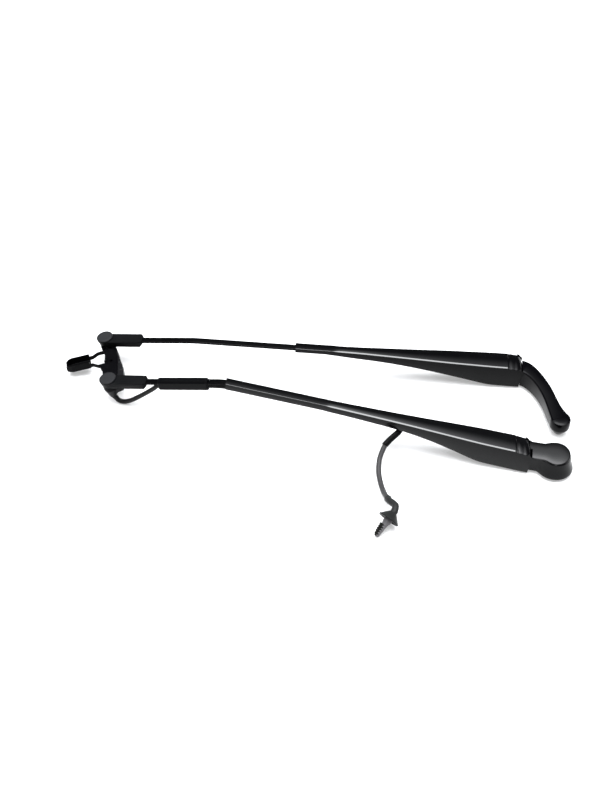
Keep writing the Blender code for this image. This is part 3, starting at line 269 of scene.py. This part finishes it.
def make_materials():
    surface("paint", (0.0010, 0.0010, 0.0012), (0.0022, 0.0023, 0.0026), (0.15, 0.2), 1500.0, 0.08, specular=0.134)
    # Far arm: the same paint made darker and less glossy, as painted shade on the far side.
    surface("paint_far_shaded", (0.0008, 0.0008, 0.0010), (0.0018, 0.0018, 0.0022), (0.15, 0.2), 1500.0, 0.08,
            specular=0.075)
    surface("cap_paint", (0.0014, 0.0014, 0.0016), (0.0028, 0.0028, 0.0031), (0.2, 0.26), 1500.0, 0.06,
            specular=0.2)
    # The same paint, glossier, for the retainers' edge strips: a painted highlight.
    surface("paint_edge_highlight", (0.0010, 0.0010, 0.0012), (0.0022, 0.0023, 0.0026), (0.12, 0.16), 1500.0, 0.05,
            specular=0.55)
    surface("rod_paint", (0.0006, 0.0006, 0.0008), (0.0012, 0.0012, 0.0015), (0.24, 0.3), 1500.0, 0.08,
            specular=0.055)
    surface("crank_paint", (0.0005, 0.0005, 0.0008), (0.0010, 0.0010, 0.0015), (0.12, 0.17), 1200.0, 0.06,
            specular=0.085)
    surface("casting", (0.0014, 0.0015, 0.0018), (0.0026, 0.0028, 0.0032), (0.42, 0.5), 2600.0, 0.3, specular=0.07)
    surface("coupler_casting", (0.0006, 0.0006, 0.0009), (0.0014, 0.0014, 0.0019), (0.34, 0.42), 2600.0, 0.2,
            specular=0.05)
    surface("holder_casting", (0.0005, 0.0005, 0.0006), (0.0012, 0.0012, 0.0014), (0.36, 0.46), 2600.0, 0.25,
            specular=0.045)
    surface("cap_plastic", (0.010, 0.0104, 0.0115), (0.014, 0.0144, 0.0155), (0.5, 0.6), 3200.0, 0.3, specular=0.14)
    surface("plastic", (0.0035, 0.0035, 0.004), (0.006, 0.006, 0.0068), (0.36, 0.46), 2400.0, 0.2, specular=0.12)
    surface("plug_plastic", (0.0022, 0.0022, 0.0018), (0.0042, 0.0042, 0.0035), (0.4, 0.5), 2400.0, 0.2,
            specular=0.12)
    surface("plug_neck", (0.075, 0.072, 0.075), (0.1, 0.096, 0.1), (0.45, 0.55), 2400.0, 0.2, specular=0.2)
    surface("rubber", (0.009, 0.0095, 0.0095), (0.0145, 0.015, 0.015), (0.42, 0.55), 2200.0, 0.3, specular=0.14)
    surface("hose_rubber", (0.003, 0.003, 0.003), (0.006, 0.006, 0.006), (0.34, 0.44), 2200.0, 0.2, specular=0.2)
    surface("boot_rubber", (0.0005, 0.0005, 0.0005), (0.0014, 0.0014, 0.0014), (0.5, 0.6), 2200.0, 0.3,
            specular=0.07)
    surface("sleeve_rubber", (0.0007, 0.0007, 0.001), (0.0016, 0.0016, 0.002), (0.34, 0.42), 2600.0, 0.2,
            specular=0.06)
    surface("grey_hose", (0.025, 0.024, 0.025), (0.036, 0.035, 0.036), (0.45, 0.6), 2200.0, 0.25, specular=0.2)
    surface("steel", (0.36, 0.36, 0.35), (0.52, 0.52, 0.5), (0.28, 0.42), 1800.0, 0.15, metallic=1.0)
    surface("dark_steel", (0.02, 0.02, 0.02), (0.035, 0.035, 0.035), (0.35, 0.48), 1800.0, 0.15, metallic=1.0)
    surface("bronze", (0.36, 0.25, 0.13), (0.46, 0.33, 0.18), (0.38, 0.52), 2000.0, 0.3, metallic=1.0)
    surface("floor", (0.5, 0.5, 0.5), (0.54, 0.54, 0.54), (0.8, 0.9), 300.0, 0.02, specular=0.1)


# ---------------------------------------------------------------- mesh tools

def skin(rings, looped=False, caps=True):
    """A mesh through equal rings of points."""
    bm = bmesh.new()
    loops = [[bm.verts.new(point) for point in ring] for ring in rings]
    pairs = list(zip(loops, loops[1:]))
    if looped:
        pairs.append((loops[-1], loops[0]))
    for low, high in pairs:
        for i in range(len(low)):
            j = (i + 1) % len(low)
            bm.faces.new((low[i], low[j], high[j], high[i]))
    if caps and not looped:
        bm.faces.new(loops[0])
        bm.faces.new(loops[-1])
    return bm


def add_piece(name, bm, body, material, nodes, sharp=35.0, bevel=0.0):
    """Make the object, ride it on its body and let it stand for its CAD nodes."""
    bmesh.ops.recalc_face_normals(bm, faces=bm.faces)
    mesh = bpy.data.meshes.new(name)
    bm.to_mesh(mesh)
    bm.free()
    mesh.shade_smooth()
    mesh.set_sharp_from_angle(angle=math.radians(sharp))
    piece = bpy.data.objects.new(name, mesh)
    bpy.context.scene.collection.objects.link(piece)
    mesh.materials.append(MATERIALS[material])
    if bevel:
        edge = piece.modifiers.new("edges", "BEVEL")
        edge.width = bevel
        edge.segments = 3
        edge.limit_method = "ANGLE"
        edge.angle_limit = math.radians(sharp)
        edge.harden_normals = True
    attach(piece, body)
    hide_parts(*nodes)
    return piece


def refined(node, body, material, bevel=0.3 * MM, sharp=28.0):
    """The CAD node's own shape with its flat facets merged, and its edges rounded."""
    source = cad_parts[node]
    bm = bmesh.new()
    bm.from_mesh(source.data)
    bm.transform(source.matrix_world)
    bmesh.ops.remove_doubles(bm, verts=bm.verts, dist=1e-6)
    bmesh.ops.dissolve_limit(bm, angle_limit=math.radians(0.6), verts=bm.verts, edges=bm.edges)
    return add_piece(node + "_look", bm, body, material, [node], sharp, bevel)


def lathe(profile, place, segments=48):
    rings = []
    for radius, height in profile:
        angles = [2 * math.pi * i / segments for i in range(segments)]
        rings.append([place @ Vector((radius * math.cos(a), radius * math.sin(a), height)) for a in angles])
    return skin(rings)


def axis_frame(origin, axis):
    matrix = axis.to_track_quat("Z", "Y").to_matrix().to_4x4()
    matrix.translation = origin
    return matrix


def smooth_curve(points, steps):
    """Catmull-Rom curve through the points."""
    ends = [points[0] * 2 - points[1]] + list(points) + [points[-1] * 2 - points[-2]]
    curve = []
    for p0, p1, p2, p3 in zip(ends, ends[1:], ends[2:], ends[3:]):
        for i in range(steps):
            t = i / steps
            curve.append(0.5 * (2 * p1 + (p2 - p0) * t + (2 * p0 - 5 * p1 + 4 * p2 - p3) * t * t
                                + (3 * p1 - p0 - 3 * p2 + p3) * t ** 3))
    curve.append(points[-1].copy())
    return curve


def route(points):
    return [PLACE @ (Vector(p) * MM) for p in points]


def tube(points, radii, segments=20):
    """Tube of varying radius along points, with flat closed ends."""
    rings = []
    up = Vector((0.0, 0.0, 1.0))
    for i, (point, radius) in enumerate(zip(points, radii)):
        ahead = (points[min(i + 1, len(points) - 1)] - points[max(i - 1, 0)]).normalized()
        across = ahead.cross(up)
        if across.length < 0.05:
            across = ahead.cross(Vector((1.0, 0.0, 0.0)))
        across.normalize()
        if rings and across.dot(last) < 0:
            across = -across
        last = across
        above = across.cross(ahead)
        angles = [2 * math.pi * k / segments for k in range(segments)]
        rings.append([point + (across * math.cos(a) + above * math.sin(a)) * radius for a in angles])
    return skin(rings)


# ---------------------------------------------------------------- retainers

def spread(stations, step=4.0):
    """Stations filled in every few millimetres along a smooth curve through them."""
    points = [Vector(s) for s in stations]
    dense = []
    for (a, b), (before, after) in zip(zip(points, points[1:]),
                                       zip([points[0]] + points[:-2], points[2:] + [points[-1]])):
        count = max(1, round((b.x - a.x) / step))
        for i in range(count):
            t = i / count
            slope_a = (b - before) / max(b.x - before.x, 0.1)
            slope_b = (after - a) / max(after.x - a.x, 0.1)
            run = b.x - a.x
            value = (a * (2 * t ** 3 - 3 * t * t + 1) + slope_a * run * (t ** 3 - 2 * t * t + t)
                     + b * (3 * t * t - 2 * t ** 3) + slope_b * run * (t ** 3 - t * t))
            value.x = a.x + run * t
            dense.append(tuple(value))
    dense.append(tuple(points[-1]))
    return dense


def channel_section(half, low, high, strip, crown):
    """Outline of the sheet: crowned top, a flat strip along each edge, round corners, plain sides."""
    fall = STRIP_FALL
    corner = 0.6 * MM
    side = []
    shoulder = half - corner
    inner = shoulder - strip
    raised = high + crown * 0.8
    top = [(inner * i / 8, raised - crown * (i / 8) ** 2) for i in range(9)]
    edge_z = raised - crown - strip * math.tan(fall)
    side += [(inner + 0.12 * MM, raised - crown - 0.03 * MM), (shoulder - 0.05 * MM, edge_z + 0.02 * MM)]
    centre = (shoulder - corner * math.sin(fall) * 0.2, edge_z - corner)
    for k in range(6):
        a = math.radians(90) - fall - (math.radians(90) - fall) * k / 5
        side.append((centre[0] + (half - centre[0]) * math.cos(a), centre[1] + corner * math.sin(a)))
    rim = SHEET / 2
    side.append((half, low + rim))
    for k in range(1, 5):
        a = -math.pi * k / 4
        side.append((half - rim + rim * math.cos(a), low + rim + rim * math.sin(a)))
    inside = [(half - SHEET, (low + high) / 2), (half - SHEET, high - SHEET - 1.4 * MM),
              (half - SHEET - 0.9 * MM, high - SHEET - 0.45 * MM), (inner * 0.5, high - SHEET)]
    right = top + side + inside
    left = [(-y, z) for y, z in reversed(right[1:])]
    middle = (0.0, high - SHEET)
    return right + [middle] + left


def cheek_outline(wall_end):
    """Side view of the wall's round end, past the rolled top."""
    outline = [(-3 * MM, 8.5 * MM)] + arc((0.0, 0.0), ROLL_R - 0.1 * MM, 115.0, 150.0, 8)
    return outline + arc((0.0, 0.0), wall_end, 158.0, 225.0, 16) + [(-3 * MM, -wall_end * math.sqrt(0.5))]


def make_retainer(name, place, stations, skew, wall_end, strip_end, body, paint):
    """Pressed channel with a groove across its top, its end rolled down over the hinge, and round-ended walls."""
    shaped = []
    for x, width, depth in reversed(spread(stations)):
        if x < GROOVE_X + 1.2:
            continue
        near_end = min(1.0, max(0.0, (strip_end - x) / 6.0))
        strip = (0.3 + 1.35 * near_end) * MM
        crown = (0.25 + 0.95 * near_end * width / 28.0) * MM
        shaped.append((x * MM, channel_section(width * MM / 2, ROLL_R - depth * MM, ROLL_R, strip, crown)))
    plain = len(shaped)
    half = stations[0][1] * MM / 2
    first = channel_section(half, ROLL_R - stations[0][2] * MM, ROLL_R, 1.65 * MM, 1.2 * MM)
    profile = list(ROLL_PROFILE) + [(-x, (ROLL_R - math.sqrt(ROLL_R ** 2 - (x * MM) ** 2)) / MM) for x in ROLL_STEPS]
    for x, dip in profile:
        dip = (dip + ROLL_DROP * min(1.0, max(0.0, (ROLL_DROP_FROM - x) / ROLL_DROP_RUN))) * MM
        x = x * MM
        wall_low = -math.sqrt(wall_end ** 2 - x * x) if x < -wall_end * math.sqrt(0.5) else None
        bulge = 0.7 * MM if x < (GROOVE_X - 1.0) * MM else 0.0
        section = []
        for y, z in first:
            share = min(1.0, max(0.0, (z + 4.0 * MM) / (ROLL_R + 2.4 * MM)))
            if abs(y) > half - SHEET - 0.1 * MM and z < 5.0 * MM:
                share = 0.0
            z -= (dip + bulge * (y / half) ** 2) * share
            if wall_low is not None:
                z = max(z, wall_low)
            section.append((y, z))
        shaped.append((x, section))
    rings = [[place @ Vector((x, y + skew * x, z)) for y, z in section] for x, section in shaped]
    bm = skin(rings)
    bm.faces.ensure_lookup_table()
    count = len(rings[0])
    # The edge strip faces take the glossier copy of the paint, a painted highlight.
    for ring in range(plain - 1):
        for side in (9, count - 10):
            bm.faces[ring * count + side].material_index = 1
    for side in (-1, 1):
        outer, inner = side * (half - 0.03 * MM), side * (half - SHEET)
        cheek = [[place @ Vector((x, y + skew * x, z)) for x, z in cheek_outline(wall_end)] for y in (outer, inner)]
        add_shell(bm, cheek)
    piece = add_piece(name + "_look", bm, body, paint, [name], 30.0)
    piece.data.materials.append(MATERIALS["paint_edge_highlight"])
    return piece


def add_shell(bm, rings):
    """Another closed shape in the same mesh."""
    loops = [[bm.verts.new(point) for point in ring] for ring in rings]
    for low, high in zip(loops, loops[1:]):
        for i in range(len(low)):
            j = (i + 1) % len(low)
            bm.faces.new((low[i], low[j], high[j], high[i]))
    bm.faces.new(loops[0])
    bm.faces.new(loops[-1])


# ---------------------------------------------------------------- heads

def chamfered(half_w, low, high, bevel):
    return ((-half_w + bevel, low), (half_w - bevel, low), (half_w, low + bevel), (half_w, high - bevel),
            (half_w - bevel, high), (-half_w + bevel, high), (-half_w, high - bevel), (-half_w, low + bevel))


def prism(outline, place, low, high):
    return skin([[place @ Vector((x, y, z)) for x, y in outline] for z in (low, high)])


def arc(centre, radius, start, end, steps):
    angles = [math.radians(start + (end - start) * i / steps) for i in range(steps + 1)]
    return [(centre[0] + radius * math.cos(a), centre[1] + radius * math.sin(a)) for a in angles]


def head_side(radius, start, steps=14):
    """One side of the head's thumb shape in plan: a neck that blends into the round end."""
    side = []
    for i in range(steps):
        x = start * (1.0 - i / steps)
        bulge = math.sqrt(max(radius ** 2 - x * x, 0.0))
        blend = max(NECK_BLEND - abs(bulge - NECK_HALF), 0.0) ** 2 / (4 * NECK_BLEND)
        side.append((x, max(bulge, NECK_HALF) + blend))
    return side


def make_head_cap():
    """Crowned cover of the drive head: its end follows the retainer's rolled end."""
    start = HINGE_X + 9.0 * MM
    levels = [(HEAD_SPLIT + 0.3 * MM, 16.75, 1.0), (HEAD_SPLIT + 0.8 * MM, 16.5, 1.0)]
    levels += [(HEAD_TOP - CAP_FALL * MM + h * MM, r, k) for h, r, k in CAP_CROWN]
    rings = []
    for z, radius, share in levels:
        radius = radius * MM
        side = head_side(radius, start)
        outline = side + arc((0.0, 0.0), radius, 90.0, -90.0, 40) + [(x, -y) for x, y in reversed(side)]
        ring = []
        for x, y in outline:
            lean = CAP_SLOPE * y * share - CAP_BEND * (CAP_HALF - y * share) ** 2 / MM
            lean = lean if z > HEAD_TOP - CAP_FALL * MM - 1e-6 else 0.0
            reach = math.sqrt(max(CAP_END_R ** 2 - (z + lean - HINGE_Z) ** 2, 0.0))
            edge = HINGE_X - math.tan(HINGE_YAW) * y + reach / math.cos(HINGE_YAW)
            centre = min(x, 0.0)
            if x < 0.0:
                x = edge * (x / start)
                centre = x
            ring.append(PLACE @ Vector((centre + (x - centre) * share, y * share, z + lean)))
        rings.append(ring)
    return add_piece("drive_head_cap_look", skin(rings), "drive_head", "cap_paint", ["drive_head_cap"],
                     38.0)


def boolean(piece, operation, bm):
    tool_mesh = bpy.data.meshes.new("tool")
    bmesh.ops.recalc_face_normals(bm, faces=bm.faces)
    bm.to_mesh(tool_mesh)
    bm.free()
    tool = bpy.data.objects.new("tool", tool_mesh)
    bpy.context.scene.collection.objects.link(tool)
    modifier = piece.modifiers.new("shape", "BOOLEAN")
    modifier.operation = operation
    modifier.solver = "EXACT"
    modifier.object = tool
    depsgraph = bpy.context.evaluated_depsgraph_get()
    result = bpy.data.meshes.new_from_object(piece.evaluated_get(depsgraph))
    piece.modifiers.clear()
    piece.data = result
    bpy.data.objects.remove(tool)


def make_crank():
    """Follower head: a swept crank with rounded edges, its hinge tongue and its hub."""
    stations = smooth_curve([Vector(s) for s in CRANK], 5)
    rings = []
    for i, station in enumerate(stations):
        x, y, width, low, high = station
        before, after = stations[max(i - 1, 0)], stations[min(i + 1, len(stations) - 1)]
        ahead = Vector((after[0] - before[0], after[1] - before[1], 0.0))
        across = Vector((ahead.y, -ahead.x, 0.0)).normalized()
        ring = []
        for centre_y, centre_z, start in ((1, 0, -90), (1, 1, 0), (-1, 1, 90), (-1, 0, 180)):
            radius = CRANK_CORNER[centre_z]
            cy = centre_y * (width / 2 - radius)
            cz = high - radius if centre_z else low + radius
            for k in range(6):
                a = math.radians(start + 18 * k)
                ring.append((cy + radius * math.cos(a), cz + radius * math.sin(a)))
        rings.append([PLACE @ (Vector((x, y, 0.0)) * MM + across * a * MM + Vector((0.0, 0.0, z * MM)))
                      for a, z in ring])
    bm = skin(rings)
    bmesh.ops.recalc_face_normals(bm, faces=bm.faces)
    mesh = bpy.data.meshes.new("crank")
    bm.to_mesh(mesh)
    bm.free()
    crank = bpy.data.objects.new("crank", mesh)
    bpy.context.scene.collection.objects.link(crank)
    upright = FOLLOWER_HINGE @ Matrix.Rotation(math.pi / 2, 4, "X")
    shelf = HEAD_CLEAR_R * math.sqrt(0.5)
    clearance = arc((0.0, 0.0), CAP_END_R, 75.0, 225.0, 24)
    clearance += [(-shelf, -32 * MM), (30 * MM, -32 * MM), (30 * MM, 14 * MM)]
    boolean(crank, "DIFFERENCE", prism(clearance, upright, -20 * MM, 20 * MM))
    low = SKIRT_Z - HINGE_Z + 0.3 * MM
    web = TONGUE_R * math.sqrt(0.5)
    tongue = [(12.4 * MM, low), (-17 * MM, low), (-17 * MM, -shelf), (-shelf, -shelf), (-web, -web)]
    tongue += arc((0.0, 0.0), TONGUE_R, 218.0, -30.0, 20) + [(12.4 * MM, -6.2 * MM)]
    boolean(crank, "UNION", prism(tongue, upright, -TONGUE_HALF, TONGUE_HALF))
    slot = [(x * MM, z * MM) for x, z in ((3.4, -20), (16, -20), (16, -2), (6.6, -4.6), (3.4, -6.4))]
    boolean(crank, "DIFFERENCE", prism(slot, upright, -2.2 * MM, 2.2 * MM))
    along_pin = FOLLOWER_HINGE @ Matrix.Rotation(-math.pi / 2, 4, "X")
    boolean(crank, "DIFFERENCE", lathe([(4.4 * MM, -12 * MM), (4.4 * MM, 12 * MM)], along_pin, 32))
    anchor = FOLLOWER_HINGE @ Matrix.Translation(Vector((9.4, 0.0, -9.4)) * MM)
    anchor = anchor @ Matrix.Rotation(-math.pi / 2, 4, "X")
    boolean(crank, "DIFFERENCE", lathe([(1.65 * MM, -12 * MM), (1.65 * MM, 12 * MM)], anchor, 16))
    foot = PLACE @ Matrix.Translation(FOLLOWER_AXIS)
    hub = ((4.4, 0.0), (4.9, 0.4), (5.6, 1.2), (11.2, 9.8), (11.8, 11.0), (12.0, 12.4), (12.0, 21.4), (11.4, 22.8),
           (10.0, 23.5), (7.6, 23.85), (4.0, 24.0))
    boolean(crank, "UNION", lathe([(r * MM, z * MM) for r, z in hub], foot, 56))
    boolean(crank, "DIFFERENCE", lathe([(3.2 * MM, -1 * MM), (3.2 * MM, 16 * MM)], foot, 32))
    bm = bmesh.new()
    bm.from_mesh(crank.data)
    bpy.data.objects.remove(crank)
    bmesh.ops.remove_doubles(bm, verts=bm.verts, dist=2e-6)
    return add_piece("follower_head_look", bm, "follower_head", "crank_paint", ["follower_head"], 34.0)


# ---------------------------------------------------------------- hoses

def make_free_hose():
    """The free hose with its elbow, grommet and plug."""
    points = smooth_curve(route(FREE_HOSE), 4)
    hose = add_piece("free_hose_look", tube(points, [HOSE_R] * len(points)), "drive_arm", "grey_hose",
                     ["free_hose"])
    along = (points[-1] - points[-2]).normalized()
    corner = PLACE @ PLUG_CORNER
    start = points[-1] - along * 3 * MM
    rise = (corner - start).normalized()
    path = smooth_curve([start, start + along * 7 * MM, corner - rise * 5 * MM, corner + PLUG_AXIS * 5 * MM,
                         corner + PLUG_AXIS * ELBOW_REACH], 6)
    radii = []
    for i in range(len(path)):
        t = i / (len(path) - 1)
        bead = 0.35 * MM * max(0.0, 1.0 - abs(t - 0.04) * 18) + 0.5 * MM * max(0.0, 1.0 - abs(t - 0.97) * 12)
        radii.append(HOSE_R + 1.0 * MM + bead)
    elbow = add_piece("hose_elbow_look", tube(path, radii, 24), "drive_arm", "rubber", ["hose_elbow"])
    place = axis_frame(corner + PLUG_AXIS * (ELBOW_REACH + 0.2 * MM), PLUG_AXIS)
    umbrella = ((4.2, 0.0), (4.7, 0.6), (5.4, 1.2), (7.2, 3.1), (9.2, 5.2), (11.0, 7.1), (12.2, 8.3), (12.65, 8.9),
                (12.65, 9.3), (12.4, 9.8), (11.8, 10.0), (10.4, 9.5), (8.8, 8.9), (7.4, 8.7), (6.2, 8.7), (5.2, 8.7))
    umbrella = [(r * MM, s * MM) for r, s in umbrella]
    grommet = add_piece("hose_grommet_look", lathe(umbrella, place), "drive_arm", "rubber", ["hose_grommet"])
    neck = [(r * MM, s * MM) for r, s in ((4.9, 8.9), (4.95, 11.0), (4.7, 13.2), (3.9, 15.0), (3.5, 16.4),
                                          (3.1, 22.0), (2.7, 29.0), (2.3, 31.4), (1.4, 32.2))]
    bm = lathe(neck, place @ Matrix.Translation((0.0, 0.0, 0.1 * MM)), 36)
    plain = len(bm.faces)
    away = (Vector((-0.894, 0.215, 0.396)) - PLUG_AXIS * Vector((-0.894, 0.215, 0.396)).dot(PLUG_AXIS)).normalized()
    side = columns(place.translation, away, PLUG_AXIS.cross(away), PLUG_AXIS)
    barbs = []
    for base, reach, wide in PLUG_BARBS:
        barbs += [(base, reach - 0.9, wide - 0.5), (base + 0.5, reach, wide), (base + 1.1, reach, wide),
                  (base + 2.3, reach - 0.8, wide - 0.4)]
    barbs.append((32.3, 2.6, 1.4))
    block = []
    for s, reach, wide in barbs:
        outline = chamfered(wide, -1.2, reach, 0.7)
        block.append([side @ Vector((z * MM, y * MM, s * MM)) for y, z in outline])
    add_shell(bm, block)
    bm.faces.ensure_lookup_table()
    for face in bm.faces[plain:]:
        face.material_index = 1
    plug = add_piece("hose_plug_look", bm, "drive_arm", "plug_neck", ["hose_plug"], 30.0)
    plug.data.materials.append(MATERIALS["plug_plastic"])


# ---------------------------------------------------------------- the rest

SMALL_PIECES = (
    ("drive_head", "drive_head", "paint", "black_paint", 0.5),
    ("drive_rod", "drive_arm", "rod_paint", "black_paint", 0.35),
    ("follower_rod", "follower_arm", "rod_paint", "black_paint", 0.35),
    ("drive_socket", "drive_arm", "casting", "black_casting", 0.35),
    ("follower_socket", "follower_arm", "casting", "black_casting", 0.35),
    ("drive_pivot_cap", "drive_arm", "cap_plastic", "black_plastic", 0.3),
    ("follower_pivot_cap", "follower_arm", "cap_plastic", "black_plastic", 0.3),
    ("coupler_link", "coupler", "coupler_casting", "black_casting", 0.4),
    ("nozzle_block", "coupler", "plastic", "black_plastic", 0.4),
    ("nozzle_jet_1", "coupler", "cap_plastic", "black_plastic", 0.15),
    ("nozzle_jet_2", "coupler", "cap_plastic", "black_plastic", 0.15),
    ("blade_holder", "blade_holder", "holder_casting", "black_casting", 0.3),
    ("washer_manifold", "drive_arm", "plastic", "black_plastic", 0.3),
    ("hose_sleeve", "drive_arm", "sleeve_rubber", "black_rubber", 0.6),
    ("washer_hose", "drive_arm", "hose_rubber", "black_rubber", 0.0),
    ("hose_boot", "drive_arm", "boot_rubber", "black_rubber", 0.0),
    ("drive_spring", "drive_arm", "dark_steel", "steel", 0.0),
    ("follower_spring", "follower_arm", "dark_steel", "steel", 0.0),
    ("drive_hinge_pin", "drive_arm", "paint", "steel", 0.1),
    # The far hinge pin takes the darker copy of the paint, painted shade.
    ("follower_hinge_pin", "follower_arm", "paint_far_shaded", "steel", 0.1),
    ("drive_hinge_bush", "drive_head", "bronze", "bronze", 0.1),
    ("follower_hinge_bush", "follower_head", "bronze", "bronze", 0.1),
    ("drive_spring_pin", "drive_head", "steel", "steel", 0.1),
    ("follower_spring_pin", "follower_head", "steel", "steel", 0.1),
    ("drive_rod_rivet", "drive_arm", "steel", "steel", 0.1),
    ("follower_rod_rivet", "follower_arm", "steel", "steel", 0.1),
    ("drive_pivot_pin", "drive_arm", "steel", "steel", 0.1),
    ("follower_pivot_pin", "follower_arm", "steel", "steel", 0.1),
    ("drive_pivot_bush", "coupler", "bronze", "bronze", 0.1),
    ("follower_pivot_bush", "coupler", "bronze", "bronze", 0.1),
    ("follower_pivot_washer", "follower_arm", "steel", "steel", 0.1),
    ("follower_pivot_clip", "follower_arm", "steel", "steel", 0.1),
    ("holder_pin", "coupler", "steel", "steel", 0.1),
)


def make_small_pieces():
    """Pieces whose CAD shape is right: facets merged, edges rounded, real finish."""
    for node, body, material, slot, bevel in SMALL_PIECES:
        refined(node, body, material, bevel * MM)


def main():
    make_materials()
    make_camera()
    make_lights()
    make_floor()
    make_free_hose()
    make_retainer("drive_retainer", DRIVE_FRAME, DRIVE_STATIONS, DRIVE_SKEW, DRIVE_WALL_END_R, DRIVE_STRIP_END,
                  "drive_arm", "paint")
    # The far retainer takes the darker copy of the paint, painted shade.
    make_retainer("follower_retainer", FOLLOWER_FRAME, FOLLOWER_STATIONS, 0.0, FOLLOWER_WALL_END_R,
                  FOLLOWER_STRIP_END, "follower_arm", "paint_far_shaded")
    make_head_cap()
    make_crank()
    make_small_pieces()


main()
